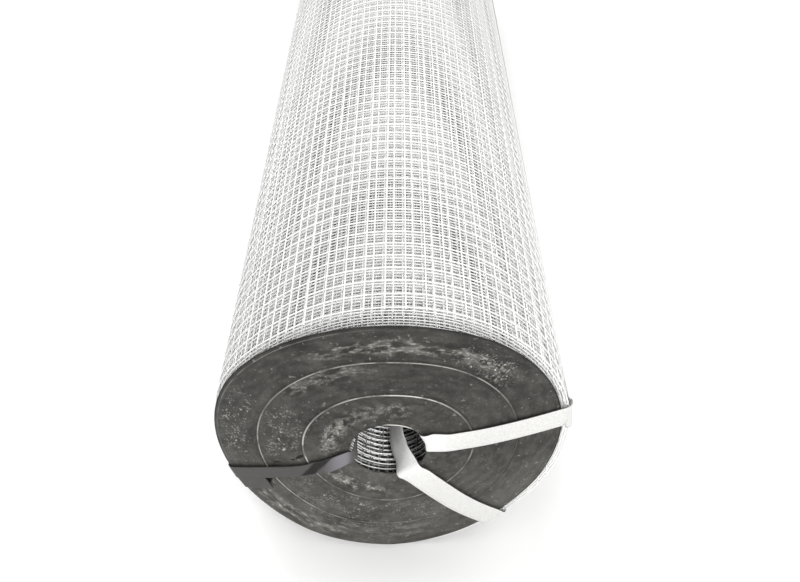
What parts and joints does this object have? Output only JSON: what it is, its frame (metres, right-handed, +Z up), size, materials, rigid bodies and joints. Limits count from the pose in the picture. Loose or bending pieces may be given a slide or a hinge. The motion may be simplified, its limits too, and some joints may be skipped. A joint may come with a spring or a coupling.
{
  "type": "roll of welded wire mesh",
  "caption": "Roll of galvanised welded square wire mesh lying on its side, with a thin dark disc strapped over each end and an open bore.",
  "frame": {"origin": "on the floor, under the middle of the whole roll", "axes": "+Z up, the roll's axis along Y, the end with the pulled-back disc towards -Y"},
  "size_m": [0.2492, 1.0114, 0.2475],
  "materials": {
    "galvanised_wire": "bright galvanised wire, satin",
    "end_disc_plastic": "thin dark sheet, matt and dusty, with two raised rings",
    "white_strap": "white woven strap with fine ribs",
    "dark_strap": "dark grey woven strap"
  },
  "bodies": {
    "root": {"mesh_roll": "galvanised_wire", "near_end_disc": "end_disc_plastic", "far_end_disc": "end_disc_plastic", "upper_white_strap": "white_strap", "lower_white_strap": "white_strap", "dark_strap": "dark_strap"}
  },
  "joints": []
}
